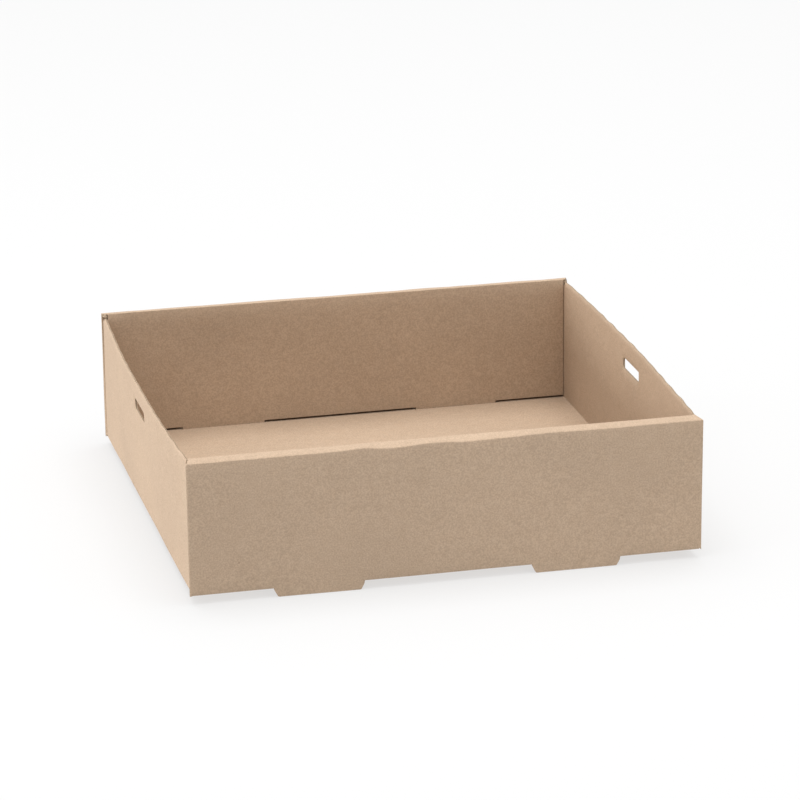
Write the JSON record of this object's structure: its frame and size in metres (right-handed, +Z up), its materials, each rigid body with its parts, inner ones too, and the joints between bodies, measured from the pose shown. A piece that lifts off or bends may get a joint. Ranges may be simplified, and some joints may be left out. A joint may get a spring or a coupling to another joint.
{
  "type": "corrugated cardboard tray",
  "caption": "Square open tray of brown corrugated board with roll-over front and back walls, single side walls, lock slots and low feet.",
  "frame": {"origin": "middle of the footprint, at the bottom of the feet", "axes": "+Z up, -Y towards the front roll-over wall, +X towards the right side wall"},
  "size_m": [0.2286, 0.225, 0.0631],
  "materials": {
    "kraft_board": "uncoated brown kraft liner, matte"
  },
  "bodies": {
    "root": {"folded_tray": "kraft_board"}
  },
  "joints": []
}
